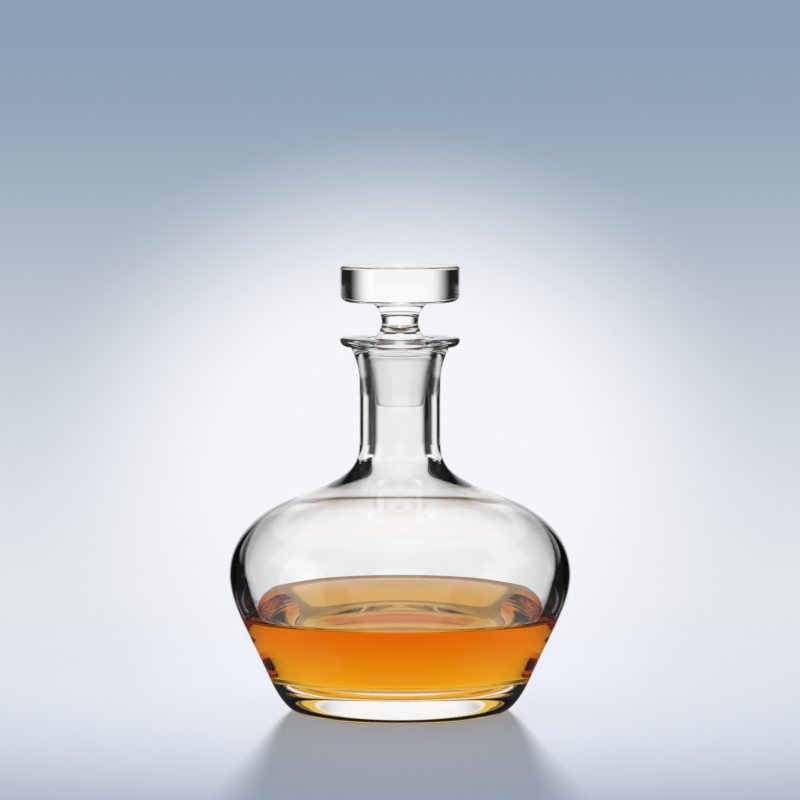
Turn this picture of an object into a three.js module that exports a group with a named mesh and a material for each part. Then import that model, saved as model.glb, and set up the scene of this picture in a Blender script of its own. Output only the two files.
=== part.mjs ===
import * as THREE from 'three';

// A whisky decanter of thick clear glass with a solid ground stopper, partly filled with whisky.
// All sizes are in millimetres and all angles in degrees. The origin is the middle of the foot, on the
// surface that the decanter stands on, and +Z is up. Every piece is a body of revolution about the
// Z axis, and a profile point is (radius, height). A fullness says how far a curve is drawn into the
// corner that it rounds: 0 cuts the corner straight, and 1 pulls the curve all the way.

// Foot: a flat ring to stand on, round a shallow hollow.
const FOOT_RADIUS = 45.4;
const FOOT_RING_WIDTH = 15;
const FOOT_HOLLOW_DEPTH = 2;
const FOOT_HOLLOW_FLAT = 0.5;

// Heel: the soft turn from the foot up to the side wall, which leans out by this angle from upright.
const HEEL_RADIUS = 58.1;
const HEEL_HEIGHT = 15;
const HEEL_LEAN = 24.1;
const HEEL_FULLNESS = 0.6;

// Belly: the widest ring of the body.
const BELLY_RADIUS = 75.5;
const BELLY_ABOVE_HEEL = 45.5;
const SIDE_FULLNESS = 0.54;

// Shoulder: a sloping line meets the belly's upright and the neck's upright, and the wall follows it.
// The wall turns from full to hollow at one point of that line, a share of the way from the neck.
const SHOULDER_ABOVE_BELLY = 21.6;
const SHOULDER_RISE = 23.6;
const SHOULDER_TURN = 0.56;
const SHOULDER_FULLNESS = 0.16;
const NECK_ROOT_FULLNESS = 0.8;
const NECK_ROOT_RISE = 13.8;

// Neck and lip. The neck opens out under a flat lip with soft edges.
const NECK_BORE_RADIUS = 11.1;
const NECK_LENGTH = 45.9;
const NECK_FLARE = 3.6;
const NECK_FLARE_HEIGHT = 14;
const NECK_FLARE_LEAN = 26;
const NECK_FLARE_FULLNESS = 0.6;
const LIP_OVERHANG = 8.6;
const LIP_THICKNESS = 4;
const LIP_TOP_ROUND = 1.2;
const LIP_UNDER_ROUND = 2.7;
const LIP_ROOT_ROUND = 1.2;
const MOUTH_ROUND = 1.2;

// Thickness of the glass, square to the wall.
const NECK_WALL = 6.75;
const SHOULDER_WALL = 1.3;
const BELLY_WALL = 5.7;
const HEEL_WALL = 8.5;

// Inside: a thick floor, flat in the middle, with a soft corner up to a side of its own curve,
// whose belly lies a little over the outer one.
const FLOOR_THICKNESS = 13.6;
const FLOOR_CORNER_WIDTH = 14;
const FLOOR_CORNER_HEIGHT = 7;
const FLOOR_CORNER_FULLNESS = 0.5;
const INNER_SIDE_FULLNESS = 0.3;
const INNER_BELLY_LIFT = 3;

// Ground seat of the stopper: a cone in the mouth that narrows down to the bore, by its half angle.
const SEAT_LENGTH = 24.6;
const SEAT_TAPER = 9.1;
const STOPPER_CLEARANCE = 0.3;

// Stopper: a ground plug, a waisted stem and a thick round head, all one piece of glass.
const PLUG_LENGTH = 26.6;
const PLUG_SINK = 3.4;
const PLUG_END_ROUND = 1;
const PLUG_END_FULLNESS = 0.55;
const STEM_WAIST_RADIUS = 8.05;
const STEM_WAIST_ABOVE_LIP = 6.4;
const STEM_FOOT_SLOPE = 42.5;
const STEM_FOOT_FULLNESS = 0.7;
const STEM_ABOVE_WAIST = 9.3;
const STEM_TOP_FLARE = 8;
const STEM_TOP_FULLNESS = 0.6;
const HEAD_RADIUS = 26.4;
const HEAD_THICKNESS = 15.9;
const HEAD_TOP_ROUND = 1.5;
const HEAD_UNDER_ROUND = 3.5;

// Whisky: a still fill with a hair's gap to the glass.
const WHISKY_DEPTH = 29.6;
const WHISKY_GAP = 0.3;

// Fineness of the round forms.
const TURN_STEPS = 60;
const CURVE_STEPS = 7;
const ROUND_STEPS = 3;

const point = (radius, height) => new THREE.Vector2(radius, height);
const radians = THREE.MathUtils.degToRad;
const bellyHeight = HEEL_HEIGHT + BELLY_ABOVE_HEEL;
const shoulderLineFoot = bellyHeight + SHOULDER_ABOVE_BELLY;
const shoulderLineTop = shoulderLineFoot + SHOULDER_RISE;
const neckFoot = shoulderLineTop + NECK_ROOT_RISE;
const lipTop = neckFoot + NECK_LENGTH;
const neckRadius = NECK_BORE_RADIUS + NECK_WALL;
const heelLine = point(Math.sin(radians(HEEL_LEAN)), Math.cos(radians(HEEL_LEAN)));

// Ground seat: its place in the mouth and its radius at a height.
const seatTop = lipTop - MOUTH_ROUND;
const seatFoot = seatTop - SEAT_LENGTH;
const seatSlope = Math.tan(radians(SEAT_TAPER));
const seatRadius = (height) => NECK_BORE_RADIUS + (height - seatFoot) * seatSlope;

// Rounds a corner between two points with a curve that leaves and arrives along the corner's sides.
function softCorner(start, corner, end, startFullness, endFullness = startFullness, steps = CURVE_STEPS) {
  const startPull = start.clone().lerp(corner, startFullness);
  const endPull = end.clone().lerp(corner, endFullness);
  return new THREE.CubicBezierCurve(start, startPull, endPull, end).getPoints(steps);
}

// Part of a circle about a centre, from one angle to another.
function roundEdge(centre, radius, from, to) {
  const turn = new THREE.EllipseCurve(
    centre.x, centre.y, radius, radius, radians(from), radians(to), from > to);
  return turn.getPoints(ROUND_STEPS);
}

// Joins runs of points to one profile, and keeps a point that two runs share only once.
function joinRuns(...runs) {
  const touching = 1e-6;
  return runs.flat().filter((each, i, all) => i === 0 || each.distanceTo(all[i - 1]) > touching);
}

// Turns a profile once round the Z axis and makes a named piece of it.
function turnedPiece(name, profile, material) {
  const geometry = new THREE.LatheGeometry(profile, TURN_STEPS);
  geometry.rotateX(Math.PI / 2);
  const piece = new THREE.Mesh(geometry, material);
  piece.name = name;
  return piece;
}

// Where a line that runs beside the heel's wall, at a depth under it, reaches a height.
function besideHeel(depth, height) {
  const skin = point(HEEL_RADIUS - depth * heelLine.y, HEEL_HEIGHT + depth * heelLine.x);
  return skin.addScaledVector(heelLine, (height - skin.y) / heelLine.y);
}

// Side of the body from the heel up to the foot of the neck, at a depth under the outer skin and with
// its belly lifted. The outside, the inside and the whisky all share this construction.
function bodySide(depth, heel, sideFullness, lift) {
  const neckUpright = neckRadius - depth.neck;
  const bellyUpright = BELLY_RADIUS - depth.belly;
  const fall = SHOULDER_RISE / (BELLY_RADIUS - neckRadius);
  const lowered = depth.shoulder * Math.hypot(1, fall);
  const shoulderLine = (radius) => point(radius, shoulderLineTop - lowered - (radius - neckRadius) * fall);

  const neckCorner = shoulderLine(neckUpright);
  const bellyCorner = shoulderLine(bellyUpright);
  const turn = neckCorner.clone().lerp(bellyCorner, SHOULDER_TURN);
  const belly = point(bellyUpright, bellyHeight + lift);
  const neck = point(neckUpright, neckCorner.y + NECK_ROOT_RISE);

  // Below the belly the curve is pulled so that it bends there just as much as above it.
  const sidePull = heel.clone().addScaledVector(heelLine, sideFullness * (belly.y - heel.y));
  const shoulderPull = turn.clone().lerp(bellyCorner, SHOULDER_FULLNESS);
  const evenBend = Math.sqrt((bellyUpright - sidePull.x) / (bellyUpright - shoulderPull.x));
  const bellyPull = point(bellyUpright, belly.y - (bellyCorner.y - belly.y) * evenBend);
  const side = new THREE.CubicBezierCurve(heel, sidePull, bellyPull, belly);
  return joinRuns(
    side.getPoints(CURVE_STEPS),
    softCorner(belly, bellyCorner, turn, 1, SHOULDER_FULLNESS),
    softCorner(turn, neckCorner, neck, NECK_ROOT_FULLNESS, 1));
}

// Inside of the glass from the middle of the floor up to the foot of the neck, drawn in by a gap.
function cavity(gap) {
  const floor = FLOOR_THICKNESS + gap;
  const heelDepth = HEEL_WALL + gap;
  const heel = besideHeel(heelDepth, floor + FLOOR_CORNER_HEIGHT);
  const corner = besideHeel(heelDepth, floor);
  const flatEdge = point(corner.x - FLOOR_CORNER_WIDTH, floor);
  const depth = { neck: NECK_WALL + gap, shoulder: SHOULDER_WALL + gap, belly: BELLY_WALL + gap };
  return joinRuns(
    [point(0, floor)],
    softCorner(flatEdge, corner, heel, FLOOR_CORNER_FULLNESS),
    bodySide(depth, heel, INNER_SIDE_FULLNESS, INNER_BELLY_LIFT));
}

// Outside of the glass from the middle of the hollow foot up to the foot of the neck.
function outside() {
  const ringInside = FOOT_RADIUS - FOOT_RING_WIDTH;
  const heel = point(HEEL_RADIUS, HEEL_HEIGHT);
  const skin = { neck: 0, shoulder: 0, belly: 0 };
  return joinRuns(
    softCorner(
      point(0, FOOT_HOLLOW_DEPTH), point(ringInside * FOOT_HOLLOW_FLAT, FOOT_HOLLOW_DEPTH),
      point(ringInside, 0), 1, 0, ROUND_STEPS),
    softCorner(point(FOOT_RADIUS, 0), besideHeel(0, 0), heel, HEEL_FULLNESS),
    bodySide(skin, heel, SIDE_FULLNESS, 0));
}

// Flared top of the neck and the lip, from the outside of the neck over the lip into the mouth.
function neckAndLip() {
  const underside = lipTop - LIP_THICKNESS;
  const lipRadius = neckRadius + LIP_OVERHANG;
  const mouthRadius = seatRadius(seatTop);
  const flareTop = point(neckRadius + NECK_FLARE, underside - LIP_ROOT_ROUND);
  const flareCorner = point(
    neckRadius, flareTop.y - NECK_FLARE / Math.tan(radians(NECK_FLARE_LEAN)));
  const flareFoot = point(neckRadius, flareTop.y - NECK_FLARE_HEIGHT);
  const rootCorner = point(flareTop.x + LIP_ROOT_ROUND * Math.tan(radians(NECK_FLARE_LEAN)), underside);
  const rootEnd = point(rootCorner.x + LIP_ROOT_ROUND, underside);
  return joinRuns(
    softCorner(flareFoot, flareCorner, flareTop, NECK_FLARE_FULLNESS),
    softCorner(flareTop, rootCorner, rootEnd, NECK_FLARE_FULLNESS, NECK_FLARE_FULLNESS, ROUND_STEPS),
    roundEdge(point(lipRadius - LIP_UNDER_ROUND, underside + LIP_UNDER_ROUND), LIP_UNDER_ROUND, -90, 0),
    roundEdge(point(lipRadius - LIP_TOP_ROUND, lipTop - LIP_TOP_ROUND), LIP_TOP_ROUND, 0, 90),
    roundEdge(point(mouthRadius + MOUTH_ROUND, seatTop), MOUTH_ROUND, 90, 180),
    [point(NECK_BORE_RADIUS, seatFoot)]);
}

function decanter() {
  const glass = new THREE.MeshStandardMaterial({
    color: 0xeef1f4, roughness: 0.03, metalness: 0, transparent: true, opacity: 0.3 });
  return turnedPiece('decanter', joinRuns(outside(), neckAndLip(), cavity(0).reverse()), glass);
}

// The plug is the seat's own cone, drawn in by the clearance, and runs on below it into the bore.
function stopper() {
  const glass = new THREE.MeshStandardMaterial({
    color: 0xeef1f4, roughness: 0.05, metalness: 0, transparent: true, opacity: 0.4 });
  const drawnIn = STOPPER_CLEARANCE * Math.hypot(1, seatSlope);
  const plugRadius = (height) => seatRadius(height) - drawnIn;
  const plugTop = lipTop - PLUG_SINK;
  const plugEnd = plugTop - PLUG_LENGTH;
  const waist = point(STEM_WAIST_RADIUS, lipTop + STEM_WAIST_ABOVE_LIP);
  const headFoot = waist.y + STEM_ABOVE_WAIST;
  const headTop = headFoot + HEAD_THICKNESS;
  const plugEdge = point(plugRadius(plugTop), plugTop);
  const stemRise = (plugEdge.x - STEM_WAIST_RADIUS) * Math.tan(radians(STEM_FOOT_SLOPE));
  const stemTop = point(STEM_WAIST_RADIUS + STEM_TOP_FLARE, headFoot);
  const profile = joinRuns(
    [point(0, plugEnd)],
    softCorner(
      point(plugRadius(plugEnd) - PLUG_END_ROUND, plugEnd), point(plugRadius(plugEnd), plugEnd),
      point(plugRadius(plugEnd + PLUG_END_ROUND), plugEnd + PLUG_END_ROUND),
      PLUG_END_FULLNESS, PLUG_END_FULLNESS, ROUND_STEPS),
    softCorner(plugEdge, point(STEM_WAIST_RADIUS, plugTop + stemRise), waist, STEM_FOOT_FULLNESS),
    softCorner(waist, point(STEM_WAIST_RADIUS, headFoot), stemTop, STEM_TOP_FULLNESS),
    roundEdge(point(HEAD_RADIUS - HEAD_UNDER_ROUND, headFoot + HEAD_UNDER_ROUND), HEAD_UNDER_ROUND, -90, 0),
    roundEdge(point(HEAD_RADIUS - HEAD_TOP_ROUND, headTop - HEAD_TOP_ROUND), HEAD_TOP_ROUND, 0, 90),
    [point(0, headTop)]);
  return turnedPiece('stopper', profile, glass);
}

// The whisky fills the cavity up to its depth: the cavity's own profile, cut off at the surface.
function whisky() {
  const amber = new THREE.MeshStandardMaterial({
    color: 0xd9720f, roughness: 0.05, metalness: 0, transparent: true, opacity: 0.85 });
  const inside = cavity(WHISKY_GAP);
  const surface = inside[0].y + WHISKY_DEPTH;
  const below = inside.filter((each) => each.y < surface);
  const last = below[below.length - 1];
  const next = inside[below.length];
  const edge = last.clone().lerp(next, (surface - last.y) / (next.y - last.y));
  return turnedPiece('whisky', [...below, edge, point(0, surface)], amber);
}

const whiskyDecanter = new THREE.Group();
whiskyDecanter.add(decanter(), stopper(), whisky());

export default whiskyDecanter;
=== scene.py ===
import math

import bpy
import numpy as np
from bpy.props import FloatProperty, FloatVectorProperty, IntProperty, PointerProperty
from bpy.types import Operator, Panel, PropertyGroup
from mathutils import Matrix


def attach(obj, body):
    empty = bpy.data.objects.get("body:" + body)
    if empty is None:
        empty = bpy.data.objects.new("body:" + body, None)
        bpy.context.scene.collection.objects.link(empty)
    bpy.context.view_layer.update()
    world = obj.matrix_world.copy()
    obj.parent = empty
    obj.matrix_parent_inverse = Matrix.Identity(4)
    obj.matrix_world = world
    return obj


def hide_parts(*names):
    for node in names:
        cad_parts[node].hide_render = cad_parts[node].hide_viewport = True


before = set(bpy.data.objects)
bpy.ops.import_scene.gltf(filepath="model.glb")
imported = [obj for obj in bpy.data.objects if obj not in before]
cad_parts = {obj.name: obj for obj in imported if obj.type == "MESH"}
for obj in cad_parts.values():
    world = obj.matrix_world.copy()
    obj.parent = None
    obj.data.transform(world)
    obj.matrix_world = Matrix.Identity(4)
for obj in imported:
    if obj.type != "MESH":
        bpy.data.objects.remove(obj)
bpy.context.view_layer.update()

# A whisky decanter of thick clear glass, its solid ground stopper and its fill of whisky. Every piece
# is turned round the Z axis from a profile of (radius, height) points, in metres. A fullness says how
# far a curve is drawn into the corner that it rounds: 0 cuts the corner straight, 1 goes all the way.

bl_info = {
    "name": "Whisky Decanter",
    "version": (1, 0, 0),
    "blender": (4, 5, 0),
    "location": "3D View > Sidebar > Decanter",
    "description": "Builds a clear glass decanter, its ground stopper and its fill of whisky",
    "category": "Add Mesh",
}

SENSOR_WIDTH = 36
SAME_POINT = 1e-9


def length(name, metres, description):
    """A size in metres."""
    return FloatProperty(name=name, description=description, default=metres, precision=5, unit="LENGTH")


def angle(name, degrees, description):
    """An angle, given in degrees and kept in radians."""
    return FloatProperty(name=name, description=description, default=math.radians(degrees), subtype="ANGLE")


def share(name, value, description):
    """A number from 0 to 1."""
    return FloatProperty(
        name=name, description=description, default=value, min=0, max=1, precision=3, subtype="FACTOR")


def number(name, value, description):
    """A plain number without a unit."""
    return FloatProperty(name=name, description=description, default=value, precision=3)


def count(name, value, description):
    """A whole number of 3 or more."""
    return IntProperty(name=name, description=description, default=value, min=3)


def ramp(name, start, full, description, unit="NONE"):
    """Where something starts to rise from 0 and where it is a full 1."""
    return FloatVectorProperty(
        name=name, description=description, default=(start, full), size=2, precision=3, unit=unit)


def turn_ramp(name, start, full, description):
    """A ramp over headings, given in degrees and kept in radians."""
    return ramp(name, math.radians(start), math.radians(full), description, "ROTATION")


def band(name, low, high, soft, description, unit="NONE"):
    """From where to where something is 1, and how soft both ends are."""
    return FloatVectorProperty(
        name=name, description=description, default=(low, high, soft), size=3, precision=3, unit=unit)


def turn_band(name, low, high, soft, description):
    """A band of headings, given in degrees and kept in radians."""
    default = [math.radians(degrees) for degrees in (low, high, soft)]
    return band(name, *default, description, "ROTATION")


def screen_colour(red, green, blue):
    """The linear colour of a screen colour of 0 to 255: each part c becomes ((c + 0.055) / 1.055) ^ 2.4."""
    return tuple(((part / 255 + 0.055) / 1.055) ** 2.4 for part in (red, green, blue))


def colour(name, rgb, description):
    """A linear colour."""
    return FloatVectorProperty(
        name=name, description=description, default=rgb, size=3, min=0, max=1, subtype="COLOR")


class DecanterShape(PropertyGroup):
    """Sizes of the vessel."""

    foot_radius: length("Foot radius", 0.0454, "Outer radius of the ring that it stands on")
    foot_ring_width: length("Foot ring width", 0.015, "Width of the flat ring")
    foot_hollow_depth: length("Foot hollow depth", 0.002, "Height of the hollow inside the ring")
    foot_hollow_flat: share("Foot hollow flat", 0.5, "How far the hollow stays flat")
    foot_edge_round: length("Foot edge round", 0.0006, "Softness of the foot's outer edge")
    foot_edge_fullness: share("Foot edge fullness", 0.6, "Roundness of that edge")
    heel_radius: length("Heel radius", 0.0581, "Radius where the heel meets the side wall")
    heel_height: length("Heel height", 0.015, "Height where the heel meets the side wall")
    heel_lean: angle("Heel lean", 24.1, "Lean of the side wall there, from upright")
    heel_fullness: share("Heel fullness", 0.6, "Roundness of the heel")
    belly_radius: length("Belly radius", 0.0755, "Largest radius")
    belly_above_heel: length("Belly above heel", 0.0455, "Height of the largest radius over the heel")
    side_fullness: share("Side fullness", 0.54, "How long the side wall keeps the heel's lean")
    shoulder_above_belly: length("Shoulder above belly", 0.0216, "Height of the shoulder line's foot")
    shoulder_rise: length("Shoulder rise", 0.0236, "Rise of the shoulder line to the neck")
    shoulder_turn: share("Shoulder turn", 0.56, "Where the wall turns from full to hollow, from the neck")
    shoulder_fullness: share("Shoulder fullness", 0.16, "Roundness of the shoulder")
    neck_root_fullness: share("Neck root fullness", 0.8, "Roundness of the neck's root")
    neck_root_rise: length("Neck root rise", 0.0138, "Height of the neck's root")
    neck_bore_radius: length("Neck bore radius", 0.0111, "Inner radius of the neck")
    neck_length: length("Neck length", 0.0459, "Length of the neck with its lip")
    neck_flare: length("Neck flare", 0.0036, "How far the neck opens out under the lip")
    neck_flare_height: length("Neck flare height", 0.014, "Height of that flare")
    neck_flare_lean: angle("Neck flare lean", 26, "Lean of the flare under the lip, from upright")
    neck_flare_fullness: share("Neck flare fullness", 0.6, "Roundness of the flare")
    lip_overhang: length("Lip overhang", 0.0086, "Lip's reach past the neck")
    lip_thickness: length("Lip thickness", 0.004, "Height of the lip")
    lip_top_round: length("Lip top round", 0.0012, "Radius of the lip's upper edge")
    lip_under_round: length("Lip under round", 0.0027, "Radius of the lip's lower edge")
    lip_root_round: length("Lip root round", 0.0012, "Size of the corner under the lip")
    mouth_round: length("Mouth round", 0.0012, "Radius of the mouth's edge")
    neck_wall: length("Neck wall", 0.00675, "Thickness of the glass in the neck")
    shoulder_wall: length("Shoulder wall", 0.0013, "Thickness of the glass in the shoulder")
    belly_wall: length("Belly wall", 0.0057, "Thickness of the glass in the belly")
    heel_wall: length("Heel wall", 0.0085, "Thickness of the glass at the heel")
    inner_side_fullness: share("Inner side fullness", 0.3, "How long the cavity's side keeps its lean")
    inner_belly_lift: length("Inner belly lift", 0.003, "Height of the cavity's belly over the outer one")
    floor_thickness: length("Floor thickness", 0.0136, "Height of the inner floor")
    floor_corner_width: length("Floor corner width", 0.014, "Width of the inner floor's soft corner")
    floor_corner_height: length("Floor corner height", 0.007, "Height of the inner floor's soft corner")
    floor_corner_fullness: share("Floor corner fullness", 0.5, "Roundness of that corner")
    seat_length: length("Seat length", 0.0246, "Length of the ground seat")
    seat_taper: angle("Seat taper", 9.1, "Half angle of the ground seat's cone")


class StopperShape(PropertyGroup):
    """Sizes of the stopper."""

    clearance: length("Clearance", 0.0003, "Gap between plug and seat")
    plug_length: length("Plug length", 0.0266, "Length of the ground plug")
    plug_sink: length("Plug sink", 0.0034, "Depth of the plug's top under the lip")
    plug_end_round: length("Plug end round", 0.001, "Softness of the plug's lower edge")
    plug_end_fullness: share("Plug end fullness", 0.55, "Roundness of the plug's lower edge")
    waist_radius: length("Waist radius", 0.00805, "Smallest radius of the stem")
    waist_above_lip: length("Waist above lip", 0.0064, "Height of the stem's waist over the lip")
    foot_slope: angle("Stem foot slope", 42.5, "Slope of the stem's foot")
    foot_fullness: share("Stem foot fullness", 0.7, "Roundness of the stem's foot")
    head_above_waist: length("Head above waist", 0.0093, "Height of the head over the waist")
    top_flare: length("Stem top flare", 0.008, "How far the stem opens under the head")
    top_fullness: share("Stem top fullness", 0.6, "Roundness of that flare")
    head_radius: length("Head radius", 0.0264, "Radius of the head")
    head_thickness: length("Head thickness", 0.0159, "Thickness of the head")
    head_top_round: length("Head top round", 0.0015, "Radius of the head's upper edge")
    head_under_round: length("Head under round", 0.0035, "Radius of the head's lower edge")


class WhiskyShape(PropertyGroup):
    """Sizes of the fill."""

    depth: length("Depth", 0.02987, "Depth of the whisky in the middle")
    glass_gap: length("Glass gap", 0.00003, "Hair's gap that keeps the fill clear of the glass")
    climb: length("Climb", 0.0014, "Height that the edge of the surface climbs the glass")
    climb_width: length("Climb width", 0.0016, "Width over which that climb dies away")
    climb_reach: number("Climb reach", 7, "How many of these widths the climb is drawn out to")


class Finish(PropertyGroup):
    """Colours and finish of glass and whisky, and how finely the round forms are made."""

    glass_colour: colour("Glass colour", (0.993, 0.993, 0.999), "Tint of the glass")
    glass_index: number("Glass index", 1.52, "Refractive index of the glass")
    whisky_index: number("Whisky index", 1.36, "Refractive index of the whisky")
    whisky_colour: colour("Whisky colour", (0.99, 0.83, 0.0), "What the whisky lets through")
    whisky_density: number("Whisky density", 52, "Absorption of the whisky per metre")
    surface_colour: colour("Surface colour", (1.0, 0.55, 0.25), "What the whisky's open surface lets through")
    rim_colour: colour("Rim colour", (1.0, 0.9, 0.75), "What that surface lets through at the glass")
    rim_radii: ramp("Rim radii", 0.035, 0.062, "Where the one goes over into the other", "LENGTH")
    # Painted shade: the wetted glass is tinted deeper amber toward the whisky's edge. It stands in for light
    # that makes the whisky look brighter and yellower lower down.
    painted_shade_colour: colour("Painted shade colour", (0.86, 0.37, 0.14), "Painted shade on the wetted glass, full at the whisky's edge")
    ground_roughness: share("Ground roughness", 0.16, "Satin of the ground plug and seat")
    satin_drop: length("Satin drop", 0.008, "How far under the lip's top the satin ends")
    satin_edge: length("Satin edge", 0.0003, "Softness of the satin's ends")
    wave_height: length("Wave height", 0.000005, "Height of the glass's faint waves")
    wave_scale: number("Wave scale", 38, "Waves to a metre")
    turn_steps: count("Turn steps", 288, "Facets round the axis")
    curve_steps: count("Curve steps", 26, "Steps along each curve")
    round_steps: count("Round steps", 10, "Steps round each small edge")


class Studio(PropertyGroup):
    """Camera, floor, background and light."""

    camera_distance: length("Camera distance", 1.936, "Level distance of the camera from the axis")
    camera_height: length("Camera height", 0.2846, "Height of the camera")
    camera_tilt: angle("Camera tilt", 4.341, "How far the camera looks down")
    camera_lens: number("Camera lens", 198, "Focal length in millimetres on a 36 mm sensor")
    high_colour: colour("High colour", screen_colour(139, 160, 181), "Background above")
    high_heights: ramp("High heights", -0.130, 0.015, "Where the background takes on its high colour")
    middle_colour: colour("Middle colour", screen_colour(228, 231, 236), "Background behind the object")
    near_colour: colour("Near colour", screen_colour(158, 169, 188), "Floor in front of the object")
    near_heights: ramp("Near heights", -0.118, -0.172, "Where the floor takes on its near colour")
    steep_colour: colour("Steep colour", screen_colour(222, 225, 231), "Floor seen from above")
    steep_heights: ramp("Steep heights", -0.172, -0.25, "Where the floor takes on its steep colour")
    glow_colour: colour("Glow colour", screen_colour(245, 245, 249), "Glow behind the object")
    glow_depth: number("Glow depth", 0.090, "How far under level the glow's middle is")
    glow_stretch: number("Glow stretch", 1.12, "How much wider than high the glow is")
    glow_reach: ramp("Glow reach", 0.080, 0.030, "Where the glow ends and where it is full")
    floor_radius: length("Floor radius", 0.6, "Radius of the floor that takes the shadow")
    floor_colour: colour("Floor colour", screen_colour(222, 226, 235), "Lit floor")
    floor_cover: share("Floor cover", 0.62, "How much the floor hides the background at the object")
    floor_fade: ramp("Floor fade", 0.42, 0.02, "Where it has faded out and where it is full", "LENGTH")
    sun_height: angle("Sun height", 7, "Height of the light that casts the shadow")
    sun_width: angle("Sun width", 5, "Width of that light in the sky")
    light_bounces: count("Light bounces", 32, "How often light may meet a surface")
    mirror_bounces: count("Mirror bounces", 16, "How often it may be mirrored")


class Room(PropertyGroup):
    """Room that the glass bends and mirrors."""

    # A height is the upward part of a direction of length 1. A heading is the angle between a direction
    # and straight behind the object, to either side.

    window_colour: colour("Window colour", (1.0, 1.0, 1.0), "Lit part of the room")
    dark_colour: colour("Dark colour", (0.012, 0.012, 0.014), "Unlit part that the glass edges show")
    window_width: angle("Window width", 34, "Half width of the window behind the object")
    window_edge: angle("Window edge", 12, "Softness of its sides")
    high_spread: angle("High spread", 25, "How much wider it is high up")
    high_spread_heights: ramp("High spread heights", 0.3, 0.45, "Where it widens")
    whisky_spread: angle("Whisky spread", 40, "How much wider it is for light through the whisky")
    whisky_spread_heights: ramp("Whisky spread heights", 0.06, 0.12, "Where it widens for that light")
    side_window_sides: turn_ramp("Side window sides", 19, 12, "Half width of the other three windows")
    side_window_headings: turn_ramp("Side window headings", 66, 76, "Where these windows start")
    rear_headings: turn_ramp("Rear headings", 100, 112, "Where light through the whisky sees all lit")
    window_top: ramp("Window top", 0.57, 0.48, "Where the windows end")
    ceiling_heights: ramp("Ceiling heights", 0.67, 0.76, "Where the lit ceiling starts")
    floor_heights: band("Floor heights", -0.9, -0.21, 0.03, "Lit floor")
    high_side_headings: turn_band("High side headings", 50, 105, 6, "Lit part between window and ceiling")
    high_side_heights: band("High side heights", 0.45, 0.72, 0.03, "Heights of that part")

    few_mirrorings: count("Few mirrorings", 3, "How often light may be mirrored inside clear glass")
    most_mirrorings: count("Most mirrorings", 12, "How often it may be once it has met the whisky")
    card_heights: band("Card heights", -0.62, 0.02, 0.02, "Dark cards on both sides of the object")
    card_headings: turn_ramp("Card headings", 10, 40, "Where these cards start")
    low_card_heights: ramp("Low card heights", -0.19, -0.24, "Where the cards reach farther in")
    low_card_headings: turn_band("Low card headings", 7, 142, 3, "Cards there")
    front_headings: turn_band("Front headings", 90, 139, 5, "Dark room beside the camera")
    front_top: ramp("Front top", 0.0, -0.1, "Where it ends")
    camera_side_headings: turn_ramp("Camera side headings", 140, 150, "Dark room over the camera")
    camera_side_heights: band("Camera side heights", 0.25, 0.75, 0.03, "Heights of that part")
    surface_dimming: share("Surface dimming", 0.75, "How much dimmer the whisky's surface mirrors")
    surface_heights: band("Surface heights", 0.0, 0.3, 0.02, "Part of the room that it mirrors dimmer")
    patch_headings: turn_band("Patch headings", 5, 28, 2, "Dark patches on the floor behind the object")
    patch_heights: band("Patch heights", -0.66, -0.37, 0.02, "Heights of these patches")
    top_heights: ramp("Top heights", 0.91, 0.94, "Dark middle of the ceiling")
    far_floor_dimming: share("Far floor dimming", 0.55, "How much dimmer the floor off the foot is")
    far_floor_heights: band("Far floor heights", -0.685, -0.3, 0.015, "That part of the floor")

    glow_headings: turn_ramp("Glow headings", 20, 10, "Half width of the glow that is mirrored")
    panel_headings: turn_band("Panel headings", 52, 89, 1, "Soft panel, from the camera to the left")
    panel_heights: band("Panel heights", -0.5, 0.6, 0.05, "Heights of that panel")
    mirrored_ceiling: share("Mirrored ceiling", 0.4, "Brightness of the ceiling that is mirrored")
    mirrored_floor: share("Mirrored floor", 0.03, "Brightness of the floor that is mirrored")


def point(radius, height):
    """A profile point."""
    return np.array([radius, height], float)


def blend(start, end, amount):
    """The point that lies an amount of the way from start to end."""
    return start + (end - start) * amount


def pulled_curve(start, start_pull, end_pull, end, steps):
    """A curve that leaves start towards start_pull and arrives at end from end_pull: its points are the
    four weighted by (1-t)^3, 3t(1-t)^2, 3t^2(1-t) and t^3."""
    t = np.linspace(0, 1, steps + 1)[:, None]
    s = 1 - t
    return s**3 * start + 3 * t * s**2 * start_pull + 3 * t**2 * s * end_pull + t**3 * end


def soft_corner(start, corner, end, start_fullness, end_fullness, steps):
    """Rounds a corner with a curve that leaves and arrives along the corner's sides."""
    return pulled_curve(
        start, blend(start, corner, start_fullness), blend(end, corner, end_fullness), end, steps)


def round_edge(centre, radius, first, last, steps):
    """Part of a circle: centre + radius (cos a, sin a), with a from first to last in degrees."""
    turn = np.radians(np.linspace(first, last, steps + 1))
    return centre + radius * np.stack([np.cos(turn), np.sin(turn)], axis=1)


def straight(start, end, steps):
    """Evenly spaced points from start to end."""
    return blend(start, end, np.linspace(0, 1, steps + 1)[:, None])


def join_runs(*runs):
    """One profile from runs of points, where a point that two runs share is kept once."""
    points = np.vstack(runs)
    moved = np.linalg.norm(np.diff(points, axis=0), axis=1) > SAME_POINT
    return points[np.concatenate([[True], moved])]


def split_at(profile, height):
    """The points of a rising profile below a height, and the point where it reaches that height."""
    rising = profile[profile[:, 1] < height]
    radius = np.interp(height, profile[:, 1], profile[:, 0])
    return rising, point(radius, height)


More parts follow.
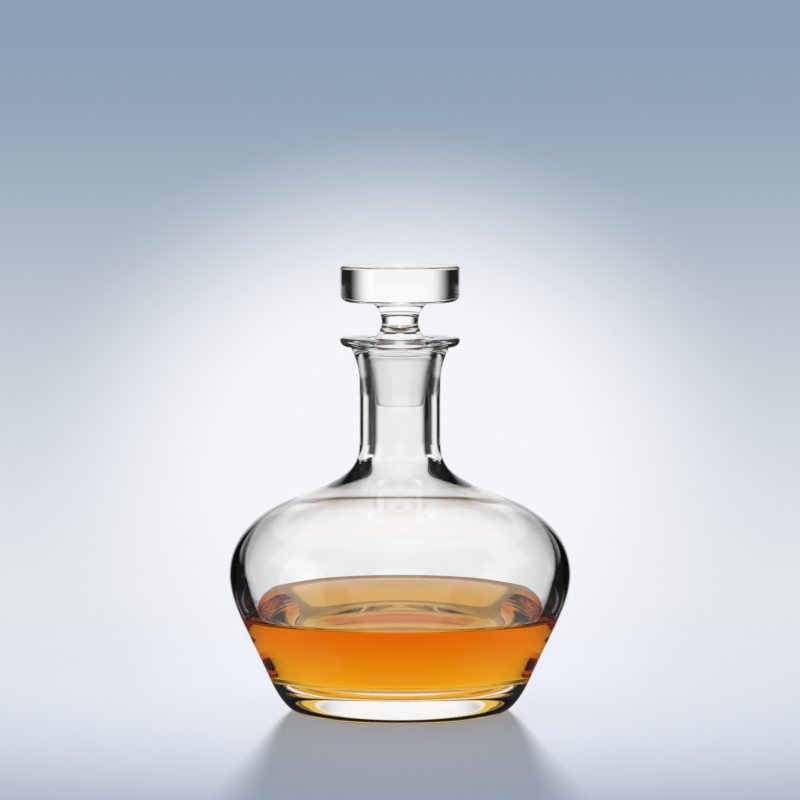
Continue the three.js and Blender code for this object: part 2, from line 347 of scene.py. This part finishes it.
class Body:
    """The vessel's profile, worked out from its sizes."""

    def __init__(self, shape, finish):
        self.shape = shape
        self.steps = finish.curve_steps
        self.round_steps = finish.round_steps
        self.belly_height = shape.heel_height + shape.belly_above_heel
        self.shoulder_top = self.belly_height + shape.shoulder_above_belly + shape.shoulder_rise
        self.neck_foot = self.shoulder_top + shape.neck_root_rise
        self.lip_top = self.neck_foot + shape.neck_length
        self.neck_radius = shape.neck_bore_radius + shape.neck_wall
        self.heel_line = point(math.sin(shape.heel_lean), math.cos(shape.heel_lean))
        self.seat_top = self.lip_top - shape.mouth_round
        self.seat_foot = self.seat_top - shape.seat_length
        self.seat_slope = math.tan(shape.seat_taper)

    def seat_radius(self, height):
        """Radius of the seat's cone at a height: bore radius + (height - seat foot) tan taper."""
        return self.shape.neck_bore_radius + (height - self.seat_foot) * self.seat_slope

    def beside_heel(self, depth, height):
        """Where a line that runs beside the heel's wall, at a depth under it, reaches a height."""
        lean, rise = self.heel_line
        skin = point(self.shape.heel_radius - depth * rise, self.shape.heel_height + depth * lean)
        return skin + self.heel_line * (height - skin[1]) / rise

    def side(self, depth, heel, fullness, lift=0):
        """Side of the body from the heel to the neck's foot, at a depth under the outer skin that is given
        for neck, shoulder and belly, with its belly lifted. Three pulled curves: the leaning side, the full
        shoulder and the hollow root of the neck. The shoulder line is lowered by its depth square to
        itself."""
        shape = self.shape
        neck_depth, shoulder_depth, belly_depth = depth
        neck_upright = self.neck_radius - neck_depth
        belly_upright = shape.belly_radius - belly_depth
        fall = shape.shoulder_rise / (shape.belly_radius - self.neck_radius)
        top = self.shoulder_top - shoulder_depth * math.hypot(1, fall)
        neck_corner = point(neck_upright, top - (neck_upright - self.neck_radius) * fall)
        belly_corner = point(belly_upright, top - (belly_upright - self.neck_radius) * fall)
        turn = blend(neck_corner, belly_corner, shape.shoulder_turn)
        belly = point(belly_upright, self.belly_height + lift)
        neck = point(neck_upright, neck_corner[1] + shape.neck_root_rise)

        # Below the belly the curve is pulled so that it bends there just as much as above it.
        side_pull = heel + self.heel_line * fullness * (belly[1] - heel[1])
        shoulder_pull = blend(turn, belly_corner, shape.shoulder_fullness)
        even_bend = math.sqrt((belly_upright - side_pull[0]) / (belly_upright - shoulder_pull[0]))
        belly_pull = point(belly_upright, belly[1] - (belly_corner[1] - belly[1]) * even_bend)
        return join_runs(
            pulled_curve(heel, side_pull, belly_pull, belly, self.steps),
            soft_corner(belly, belly_corner, turn, 1, shape.shoulder_fullness, self.steps),
            soft_corner(turn, neck_corner, neck, shape.neck_root_fullness, 1, self.steps))

    def cavity(self, gap):
        """Inside of the glass from the middle of the floor to the neck's foot, drawn in by a gap."""
        shape = self.shape
        floor = shape.floor_thickness + gap
        heel_depth = shape.heel_wall + gap
        heel = self.beside_heel(heel_depth, floor + shape.floor_corner_height)
        corner = self.beside_heel(heel_depth, floor)
        flat_edge = point(corner[0] - shape.floor_corner_width, floor)
        fullness = shape.floor_corner_fullness
        depth = (shape.neck_wall + gap, shape.shoulder_wall + gap, shape.belly_wall + gap)
        return join_runs(
            straight(point(0, floor), flat_edge, self.round_steps),
            soft_corner(flat_edge, corner, heel, fullness, fullness, self.steps),
            self.side(depth, heel, shape.inner_side_fullness, shape.inner_belly_lift))

    def outside(self):
        """Outside of the glass from the middle of the hollow foot to the neck's foot."""
        shape = self.shape
        ring_inside = shape.foot_radius - shape.foot_ring_width
        hollow = point(0, shape.foot_hollow_depth)
        hollow_corner = point(ring_inside * shape.foot_hollow_flat, shape.foot_hollow_depth)
        edge = shape.foot_edge_round
        edge_fullness = shape.foot_edge_fullness
        heel = point(shape.heel_radius, shape.heel_height)
        heel_corner = self.beside_heel(0, 0)
        rising = soft_corner(
            point(shape.foot_radius, 0), heel_corner, heel, shape.heel_fullness, shape.heel_fullness,
            self.steps)
        start = np.interp(edge, rising[:, 1], rising[:, 0])
        return join_runs(
            soft_corner(hollow, hollow_corner, point(ring_inside, 0), 1, 0, self.round_steps),
            soft_corner(
                point(shape.foot_radius - edge, 0), point(shape.foot_radius + edge / 2, 0),
                point(start, edge), edge_fullness, edge_fullness, self.round_steps),
            rising[rising[:, 1] > edge],
            self.side((0, 0, 0), heel, shape.side_fullness))

    def neck_and_lip(self):
        """Flared top of the neck and the lip, over the mouth's edge and down the seat's cone."""
        shape = self.shape
        underside = self.lip_top - shape.lip_thickness
        lip_radius = self.neck_radius + shape.lip_overhang
        mouth_radius = self.seat_radius(self.seat_top)
        root = shape.lip_root_round
        lean = math.tan(shape.neck_flare_lean)
        flare_top = point(self.neck_radius + shape.neck_flare, underside - root)
        flare_corner = point(self.neck_radius, flare_top[1] - shape.neck_flare / lean)
        flare_foot = point(self.neck_radius, flare_top[1] - shape.neck_flare_height)
        root_corner = point(flare_top[0] + root * lean, underside)
        root_end = point(root_corner[0] + root, underside)
        fullness = shape.neck_flare_fullness
        under = shape.lip_under_round
        over = shape.lip_top_round
        mouth = shape.mouth_round
        return join_runs(
            soft_corner(flare_foot, flare_corner, flare_top, fullness, fullness, self.steps),
            soft_corner(flare_top, root_corner, root_end, fullness, fullness, self.round_steps),
            round_edge(point(lip_radius - under, underside + under), under, -90, 0, self.round_steps),
            round_edge(point(lip_radius - over, self.lip_top - over), over, 0, 90, self.round_steps),
            round_edge(point(mouth_radius + mouth, self.seat_top), mouth, 90, 180, self.round_steps),
            straight(
                point(mouth_radius, self.seat_top), point(shape.neck_bore_radius, self.seat_foot),
                self.round_steps))

    def surface_height(self, whisky):
        """Height of the whisky's level surface."""
        return self.shape.floor_thickness + whisky.glass_gap + whisky.depth

    def wet_line(self, whisky):
        """Height that the whisky climbs to on the glass."""
        return self.surface_height(whisky) + whisky.climb


def turned_mesh(name, profile, turns, slots=None):
    """Turns a profile that starts and ends on the axis. Point (i, j) of the grid lies at
    (r[i] cos a[j], r[i] sin a[j], z[i]), where a[j] = 2 pi j / turns, and each end is a single pole.
    Band i, between points i and i + 1, takes its material slot from slots[i]."""
    around = 2 * np.pi * np.arange(turns) / turns
    radius = profile[1:-1, :1]
    height = np.broadcast_to(profile[1:-1, 1:], (len(radius), turns))
    rings = np.stack([radius * np.cos(around), radius * np.sin(around), height], axis=-1)
    poles = [[0, 0, profile[0, 1]], [0, 0, profile[-1, 1]]]
    places = np.concatenate([rings.reshape(-1, 3), poles])

    here = np.arange(turns)
    beside = (here + 1) % turns
    row = turns * np.arange(len(radius) - 1)[:, None]
    bands = np.stack([row + here, row + beside, row + turns + beside, row + turns + here], axis=-1)
    last_row = turns * (len(radius) - 1)
    first_pole = turns * len(radius)
    first_cap = np.stack([np.full(turns, first_pole), beside, here], axis=-1)
    last_cap = np.stack([last_row + here, last_row + beside, np.full(turns, first_pole + 1)], axis=-1)

    mesh = bpy.data.meshes.new(name)
    faces = first_cap.tolist() + bands.reshape(-1, 4).tolist() + last_cap.tolist()
    mesh.from_pydata(places, [], faces)
    if slots is not None:
        mesh.polygons.foreach_set("material_index", np.repeat(slots, turns).astype(np.int32))
    mesh.shade_smooth()
    mesh.update()
    return mesh


def add_piece(name, mesh, body, node):
    """Puts a finished mesh into the scene on its body, in place of a node of the frame."""
    piece = bpy.data.objects.new(name, mesh)
    bpy.context.scene.collection.objects.link(piece)
    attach(piece, body)
    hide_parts(node)


class Value:
    """A number that a node works out. Arithmetic on it adds Math nodes to the same tree."""

    def __init__(self, nodes, socket):
        self.nodes = nodes
        self.socket = socket

    def math(self, operation, *others):
        """This number and others through a Math node."""
        inputs = dict(enumerate((self, *others)))
        return self.nodes.add("ShaderNodeMath", {"operation": operation}, inputs)

    def beside(self, output):
        """Another output of the same node."""
        return Value(self.nodes, self.socket.node.outputs[output])

    def __add__(self, other):
        return self.math("ADD", other)

    __radd__ = __add__

    def __sub__(self, other):
        return self.math("SUBTRACT", other)

    def __rsub__(self, other):
        return (self * -1) + other

    def __mul__(self, other):
        return self.math("MULTIPLY", other)

    __rmul__ = __mul__

    def __truediv__(self, other):
        return self.math("DIVIDE", other)

    def __pow__(self, other):
        return self.math("POWER", other)

    def __abs__(self):
        return self.math("ABSOLUTE")

    def rises(self, low, high):
        """Goes softly from 0 at low to 1 at high."""
        inputs = {"Value": self, "From Min": low, "From Max": high}
        return self.nodes.add("ShaderNodeMapRange", {"interpolation_type": "SMOOTHSTEP"}, inputs)

    def past(self, edge, soft):
        """0 before an edge and 1 past it, softly."""
        return self.rises(edge - soft, edge + soft)

    def between(self, low, high, soft):
        """1 between low and high, and softly 0 past them."""
        return self.past(low, soft) * (1 - self.past(high, soft))

    def over(self, limit):
        """1 where it is more than a limit, or else 0."""
        return self.math("GREATER_THAN", limit)

    def capped(self):
        """No more than 1."""
        return self.math("MINIMUM", 1.0)


class Nodes:
    """The node tree of a material or the world, written by adding nodes."""

    def __init__(self, owner):
        owner.use_nodes = True
        self.tree = owner.node_tree
        self.tree.nodes.clear()

    def add(self, kind, settings=None, inputs=None, output=0):
        """Adds a node, sets its settings, then its inputs, and gives the value of one of its outputs. An
        input is a number, a colour or another node's value."""
        node = self.tree.nodes.new(kind)
        for name, setting in (settings or {}).items():
            setattr(node, name, setting)
        for name, value in (inputs or {}).items():
            if isinstance(value, Value):
                self.tree.links.new(value.socket, node.inputs[name])
            else:
                socket = node.inputs[name]
                wide = isinstance(value, tuple) and len(value) == 3 and socket.type == "RGBA"
                socket.default_value = (*value, 1) if wide else value
        return Value(self, node.outputs[output] if node.outputs else None)

    def mixed(self, amount, first, second):
        """A colour that goes from first to second by an amount of 0 to 1."""
        return self.add("ShaderNodeMix", {"data_type": "RGBA"}, {0: amount, 6: first, 7: second}, 2)

    def shaders(self, amount, first, second):
        """A shader that goes from first to second by an amount of 0 to 1."""
        return self.add("ShaderNodeMixShader", {}, {0: amount, 1: first, 2: second})

    def coordinates(self, kind):
        """The X, Y and Z of a coordinate."""
        place = self.add("ShaderNodeTexCoord", {}, {}, kind)
        x = self.add("ShaderNodeSeparateXYZ", {}, {"Vector": place}, "X")
        return x, x.beside("Y"), x.beside("Z")

    def finish(self, surface, volume=None, world=False):
        """Ends the tree."""
        inputs = {"Surface": surface}
        if volume is not None:
            inputs["Volume"] = volume
        self.add("ShaderNodeOutputWorld" if world else "ShaderNodeOutputMaterial", {}, inputs)


def glass(name, finish, index, ground=None, shaded_heights=None):
    """Clear glass with faint waves. Between the heights of ground it is satin, and from the lower to the
    upper height of stained it takes on the stain of the whisky behind it."""
    material = bpy.data.materials.new(name)
    nodes = Nodes(material)
    place = nodes.add("ShaderNodeTexCoord", {}, {}, "Object")
    waves = nodes.add(
        "ShaderNodeTexNoise", {}, {"Vector": place, "Scale": finish.wave_scale, "Detail": 1.0})
    normal = nodes.add(
        "ShaderNodeBump", {}, {"Height": waves, "Distance": finish.wave_height, "Strength": 1.0})
    z = nodes.add("ShaderNodeSeparateXYZ", {}, {"Vector": place}, "Z")
    roughness = 0.0
    if ground is not None:
        low, high = ground
        roughness = z.between(low, high, finish.satin_edge) * finish.ground_roughness
    tint = tuple(finish.glass_colour)
    # Painted shade: from the lower height up, the tint goes over into the deeper amber of the painted shade
    # colour.
    if shaded_heights is not None:
        low, high = shaded_heights
        tint = nodes.mixed((z - low) / (high - low), tint, tuple(finish.painted_shade_colour))
    surface = nodes.add("ShaderNodeBsdfPrincipled", {}, {
        "Base Color": tint,
        "Roughness": roughness,
        "IOR": index,
        "Transmission Weight": 1.0,
        "Normal": normal,
    })
    nodes.finish(surface)
    return material


def whisky_material(finish):
    """Amber liquid. Its open surface, which is paler at the glass, bends light as against air. Its wall
    against the glass doesn't bend it, because the wetted glass already does. Its colour deepens with the
    depth of liquid."""
    material = bpy.data.materials.new("amber_whisky")
    nodes = Nodes(material)
    is_open = nodes.add("ShaderNodeAttribute", {"attribute_name": "open_surface"}, {}, "Fac")
    x, y = nodes.coordinates("Object")[:2]
    away = (x * x + y * y) ** 0.5
    surface = nodes.mixed(
        away.rises(*finish.rim_radii), tuple(finish.surface_colour), tuple(finish.rim_colour))
    liquid = nodes.add("ShaderNodeBsdfPrincipled", {}, {
        "Base Color": surface,
        "Roughness": 0.0,
        "IOR": finish.whisky_index,
        "Transmission Weight": 1.0,
    })
    wall = nodes.add("ShaderNodeBsdfTransparent", {}, {"Color": (1.0, 1.0, 1.0)})
    depth = nodes.add("ShaderNodeVolumeAbsorption", {}, {
        "Color": tuple(finish.whisky_colour),
        "Density": finish.whisky_density,
    })
    nodes.finish(nodes.shaders(is_open, wall, liquid), depth)
    return material


class DECANTER_OT_vessel(Operator):
    """Builds the vessel of clear glass, wetted on its inside up to the whisky's edge"""

    bl_idname = "decanter.vessel"
    bl_label = "Vessel"

    def execute(self, context):
        scene = context.scene
        finish = scene.decanter_finish
        whisky = scene.decanter_whisky
        body = Body(scene.decanter_vessel, finish)
        wet_line = body.wet_line(whisky)
        cavity = body.cavity(0)
        wetted, edge = split_at(cavity, wet_line)
        dry = cavity[cavity[:, 1] > wet_line]
        inside = np.vstack([wetted, edge, dry])
        profile = join_runs(body.outside(), body.neck_and_lip(), inside[::-1])
        slots = np.zeros(len(profile) - 1)
        slots[-len(wetted):] = 1
        mesh = turned_mesh("decanter_glass", profile, finish.turn_steps, slots)
        satin_top = body.lip_top - finish.satin_drop
        mesh.materials.append(glass(
            "polished_glass", finish, finish.glass_index, ground=(body.seat_foot, satin_top)))
        # The wetted glass carries the painted shade, deepest at the whisky's edge.
        mesh.materials.append(glass(
            "wetted_glass", finish, finish.glass_index / finish.whisky_index,
            shaded_heights=(cavity[0][1], wet_line)))
        add_piece("decanter_glass", mesh, "decanter_body", "decanter")
        return {"FINISHED"}


class DECANTER_OT_stopper(Operator):
    """Builds the solid glass stopper with its ground plug"""

    bl_idname = "decanter.stopper"
    bl_label = "Stopper"

    def execute(self, context):
        scene = context.scene
        finish = scene.decanter_finish
        shape = scene.decanter_stopper
        body = Body(scene.decanter_vessel, finish)
        drawn_in = shape.clearance * math.hypot(1, body.seat_slope)
        plug_top = body.lip_top - shape.plug_sink
        plug_end = plug_top - shape.plug_length
        waist = point(shape.waist_radius, body.lip_top + shape.waist_above_lip)
        head_foot = waist[1] + shape.head_above_waist
        head_top = head_foot + shape.head_thickness

        def plug_point(height):
            return point(body.seat_radius(height) - drawn_in, height)

        edge = shape.plug_end_round
        plug_edge = plug_point(plug_top)
        stem_rise = (plug_edge[0] - shape.waist_radius) * math.tan(shape.foot_slope)
        stem_top = point(shape.waist_radius + shape.top_flare, head_foot)
        under = shape.head_under_round
        over = shape.head_top_round
        steps = finish.curve_steps
        profile = join_runs(
            straight(point(0, plug_end), plug_point(plug_end) - point(edge, 0), finish.round_steps),
            soft_corner(
                plug_point(plug_end) - point(edge, 0), plug_point(plug_end), plug_point(plug_end + edge),
                shape.plug_end_fullness, shape.plug_end_fullness, finish.round_steps),
            straight(plug_point(plug_end + edge), plug_edge, finish.round_steps),
            soft_corner(
                plug_edge, point(shape.waist_radius, plug_top + stem_rise), waist,
                shape.foot_fullness, shape.foot_fullness, steps),
            soft_corner(
                waist, point(shape.waist_radius, head_foot), stem_top,
                shape.top_fullness, shape.top_fullness, steps),
            round_edge(
                point(shape.head_radius - under, head_foot + under), under, -90, 0, finish.round_steps),
            round_edge(
                point(shape.head_radius - over, head_top - over), over, 0, 90, finish.round_steps),
            straight(
                point(shape.head_radius - over, head_top), point(0, head_top), finish.round_steps))
        mesh = turned_mesh("stopper_glass", profile, finish.turn_steps)
        satin_top = body.lip_top - finish.satin_drop
        mesh.materials.append(glass(
            "ground_stopper_glass", finish, finish.glass_index, ground=(plug_end + edge, satin_top)))
        add_piece("stopper_glass", mesh, "stopper_body", "stopper")
        return {"FINISHED"}


class DECANTER_OT_whisky(Operator):
    """Builds the fill of whisky, with its edge climbing the glass"""

    bl_idname = "decanter.whisky"
    bl_label = "Whisky"

    def execute(self, context):
        scene = context.scene
        finish = scene.decanter_finish
        whisky = scene.decanter_whisky
        body = Body(scene.decanter_vessel, finish)
        level = body.surface_height(whisky)
        wall, edge = split_at(body.cavity(whisky.glass_gap), body.wet_line(whisky))

        # The climb dies away from the glass as climb * exp(-distance / width).
        distance = np.linspace(0, 1, finish.curve_steps + 1)[1:] ** 2
        distance = distance * whisky.climb_width * whisky.climb_reach
        climb = level + whisky.climb * np.exp(-distance / whisky.climb_width)
        meniscus = np.stack([edge[0] - distance, climb], axis=1)
        calm = straight(meniscus[-1], point(0, level), finish.round_steps)
        surface = join_runs(meniscus, calm)
        profile = np.vstack([wall, edge, surface])
        mesh = turned_mesh("whisky_fill", profile, finish.turn_steps)

        bands = np.zeros(len(profile) - 1, np.float32)
        bands[len(wall):] = 1
        is_open = mesh.attributes.new("open_surface", "FLOAT", "FACE")
        is_open.data.foreach_set("value", np.repeat(bands, finish.turn_steps))
        mesh.materials.append(whisky_material(finish))
        add_piece("whisky_fill", mesh, "decanter_body", "whisky")
        return {"FINISHED"}


def background(nodes, studio, direction):
    """What the camera sees behind the object: blue-grey above, pale behind the object, a little darker on
    the floor in front of it and pale again from above, with a white glow at the object's back. The glow
    comes again at every eighth of a turn, for the other views."""
    x, y, z = direction
    base = nodes.mixed(
        z.rises(*studio.high_heights), tuple(studio.middle_colour), tuple(studio.high_colour))
    base = nodes.mixed(z.rises(*studio.near_heights), base, tuple(studio.near_colour))
    base = nodes.mixed(z.rises(*studio.steep_heights), base, tuple(studio.steep_colour))
    eighth = math.pi / 4
    heading = x.math("ARCTAN2", y).math("WRAP", eighth / 2, -eighth / 2)
    aside = heading / studio.glow_stretch
    up = z + studio.glow_depth
    off = (aside * aside + up * up) ** 0.5
    return nodes.mixed(off.rises(*studio.glow_reach), base, tuple(studio.glow_colour))


class Ray:
    """What a ray has met on its way, from counts that are compared halfway between whole numbers. Only the
    whisky's wall counts as transparent, so a ray that has passed one wall came in or went out by the open
    surface, and one that has passed two went through."""

    def __init__(self, nodes, room):
        self.from_camera = nodes.add("ShaderNodeLightPath", {}, {}, "Is Camera Ray")
        self.bent = self.from_camera.beside("Is Transmission Ray")
        mirrorings = self.from_camera.beside("Glossy Depth")
        walls = self.from_camera.beside("Transparent Depth")
        self.inside = mirrorings.over(0.5)
        self.clear = 1 - walls.capped()
        self.one_wall = walls.over(0.5) * (1 - walls.over(1.5))
        self.through_whisky = walls.over(1.5)
        self.off_whisky = self.from_camera.beside("Transmission Depth").over(2.5) * self.clear
        most = room.few_mirrorings + (room.most_mirrorings - room.few_mirrorings) * walls.capped()
        self.arrives = 1 - mirrorings.over(most + 0.5)


def make_world(scene, studio, room):
    """Camera rays see the background. What the glass bends sees a lit window behind the object that is
    wider higher up, narrower windows on the other three sides, a lit ceiling and a pale floor, with the
    dark room between them. Light through the whisky sees that window wider, and the rear lit too. What the
    glass mirrors sees a dimmer room, and a soft panel at the left."""
    world = bpy.data.worlds.new("studio_world")
    scene.world = world
    nodes = Nodes(world)
    direction = nodes.coordinates("Generated")
    x, y, z = direction
    heading = x.math("ARCTAN2", y)
    ahead = abs(heading)
    ray = Ray(nodes, room)

    half_width = room.window_width + z.rises(*room.high_spread_heights) * room.high_spread
    half_width += ray.through_whisky * z.rises(*room.whisky_spread_heights) * room.whisky_spread
    back = (ahead - half_width).rises(room.window_edge, -room.window_edge)
    quarter = math.pi / 2
    off_side = abs(heading.math("WRAP", quarter / 2, -quarter / 2))
    sides = off_side.rises(*room.side_window_sides) * ahead.rises(*room.side_window_headings)
    rear = ray.through_whisky * ahead.rises(*room.rear_headings)
    window_heights = z.rises(*room.window_top) * z.past(*room.floor_heights[1:])
    window = (back + sides + rear).capped() * window_heights
    ceiling = z.rises(*room.ceiling_heights)
    floor = z.between(*room.floor_heights)
    high_sides = ahead.between(*room.high_side_headings) * z.between(*room.high_side_heights)
    lit = (window + ceiling + floor + high_sides * ray.inside).capped()

    # Light that has been mirrored inside the glass also meets dark cards on both sides of the object and
    # the dark room round the camera, and none arrives that has been mirrored often. What the whisky's
    # surface mirrors is dimmer.
    low = z.rises(*room.low_card_heights)
    cards = z.between(*room.card_heights) * (
        ahead.between(*room.low_card_headings) * low + ahead.rises(*room.card_headings) * (1 - low))
    front = ahead.between(*room.front_headings) * z.rises(*room.front_top) * ray.clear
    camera_side = ahead.rises(*room.camera_side_headings) * z.between(*room.camera_side_heights)
    off_surface = room.surface_dimming * z.between(*room.surface_heights) * ray.off_whisky
    for dark in (cards, front, camera_side, off_surface):
        lit = lit * (1 - ray.inside * dark)

    # Light that is only bent by clear glass sees dark patches on the floor and a dark middle of the ceiling.
    # Light that has passed one wall of the whisky sees the floor off the foot dimmer.
    patches = z.between(*room.patch_heights) * ahead.between(*room.patch_headings)
    unmirrored = (patches + z.rises(*room.top_heights)) * (1 - ray.inside) * ray.clear
    far_floor = room.far_floor_dimming * z.between(*room.far_floor_heights) * ray.one_wall
    lit = lit * (1 - unmirrored) * (1 - far_floor) * ray.arrives
    bent = nodes.mixed(lit, tuple(room.dark_colour), tuple(room.window_colour))

    left = (x * -1).math("ARCTAN2", y * -1)
    panel = left.between(*room.panel_headings) * z.between(*room.panel_heights)
    behind = ahead.rises(*room.glow_headings) * window_heights
    dim = (behind + ceiling * room.mirrored_ceiling + panel + floor * room.mirrored_floor).capped()
    mirrored = nodes.mixed(dim, tuple(room.dark_colour), tuple(studio.glow_colour))

    through = nodes.mixed(ray.bent, mirrored, bent)
    shown = nodes.mixed(ray.from_camera, through, background(nodes, studio, direction))
    nodes.finish(nodes.add("ShaderNodeBackground", {}, {"Color": shown, "Strength": 1.0}), world=True)


def floor_material(studio):
    """A pale sheet that only the camera sees. It fades out into the background away from the object, and
    it is lit by the low light alone, so it holds the object's shadow."""
    material = bpy.data.materials.new("studio_floor")
    nodes = Nodes(material)
    x, y = nodes.coordinates("Object")[:2]
    away = (x * x + y * y) ** 0.5
    cover = studio.floor_cover * away.rises(*studio.floor_fade)
    sheet = nodes.add("ShaderNodeBsdfDiffuse", {}, {"Color": tuple(studio.floor_colour)})
    clear = nodes.add("ShaderNodeBsdfTransparent", {}, {"Color": (1.0, 1.0, 1.0)})
    path = nodes.add("ShaderNodeLightPath", {}, {}, "Is Camera Ray")
    nodes.finish(nodes.shaders(path * cover, clear, sheet))
    return material


class DECANTER_OT_stage(Operator):
    """Builds the floor, the background, the light and the camera"""

    bl_idname = "decanter.stage"
    bl_label = "Stage"

    def execute(self, context):
        scene = context.scene
        studio = scene.decanter_studio
        make_world(scene, studio, scene.decanter_room)

        turns = scene.decanter_finish.turn_steps
        around = 2 * np.pi * np.arange(turns) / turns
        rim = studio.floor_radius * np.stack([np.cos(around), np.sin(around), 0 * around], axis=1)
        mesh = bpy.data.meshes.new("studio_floor")
        mesh.from_pydata(rim, [], [list(range(turns))])
        mesh.materials.append(floor_material(studio))
        floor = bpy.data.objects.new("studio_floor", mesh)
        scene.collection.objects.link(floor)

        # The glass sees the floor of the room in the world instead.
        floor.visible_transmission = False
        floor.visible_glossy = False

        # Light of this strength, pi over the sine of its height, shows the level floor in its own colour.
        lamp = bpy.data.lights.new("low_light", "SUN")
        lamp.energy = math.pi / math.sin(studio.sun_height)
        lamp.angle = studio.sun_width
        sun = bpy.data.objects.new("low_light", lamp)
        sun.rotation_euler = (math.pi / 2 - studio.sun_height, 0, math.pi)
        scene.collection.objects.link(sun)
        lit = bpy.data.collections.new("lit_by_low_light")
        lit.objects.link(floor)
        sun.light_linking.receiver_collection = lit

        camera = bpy.data.cameras.new("camera")
        camera.lens = studio.camera_lens
        camera.sensor_width = SENSOR_WIDTH
        viewer = bpy.data.objects.new("camera", camera)
        viewer.location = (0, -studio.camera_distance, studio.camera_height)
        viewer.rotation_euler = (math.pi / 2 - studio.camera_tilt, 0, 0)
        scene.collection.objects.link(viewer)
        scene.camera = viewer

        scene.view_settings.view_transform = "Standard"
        scene.cycles.use_denoising = True
        scene.cycles.max_bounces = studio.light_bounces
        scene.cycles.transmission_bounces = studio.light_bounces
        scene.cycles.glossy_bounces = studio.mirror_bounces
        scene.cycles.transparent_max_bounces = studio.light_bounces
        return {"FINISHED"}


GROUPS = {
    "decanter_vessel": DecanterShape,
    "decanter_stopper": StopperShape,
    "decanter_whisky": WhiskyShape,
    "decanter_finish": Finish,
    "decanter_studio": Studio,
    "decanter_room": Room,
}
STEPS = (DECANTER_OT_stage, DECANTER_OT_vessel, DECANTER_OT_stopper, DECANTER_OT_whisky)


class DECANTER_PT_panel(Panel):
    """Lists the sizes and the steps in the 3D view's sidebar"""

    bl_idname = "DECANTER_PT_panel"
    bl_label = "Whisky Decanter"
    bl_space_type = "VIEW_3D"
    bl_region_type = "UI"
    bl_category = "Decanter"

    def draw(self, context):
        for step in STEPS:
            self.layout.operator(step.bl_idname)
        for name, group in GROUPS.items():
            column = self.layout.column(heading=group.__doc__)
            for key in group.__annotations__:
                column.prop(getattr(context.scene, name), key)


def register():
    for kind in (*GROUPS.values(), *STEPS, DECANTER_PT_panel):
        bpy.utils.register_class(kind)
    for name, group in GROUPS.items():
        setattr(bpy.types.Scene, name, PointerProperty(type=group))


def unregister():
    for name in GROUPS:
        delattr(bpy.types.Scene, name)
    for kind in (DECANTER_PT_panel, *STEPS, *GROUPS.values()):
        bpy.utils.unregister_class(kind)


def main():
    register()
    bpy.ops.decanter.stage()
    bpy.ops.decanter.vessel()
    bpy.ops.decanter.stopper()
    bpy.ops.decanter.whisky()


if __name__ == "__main__":
    main()
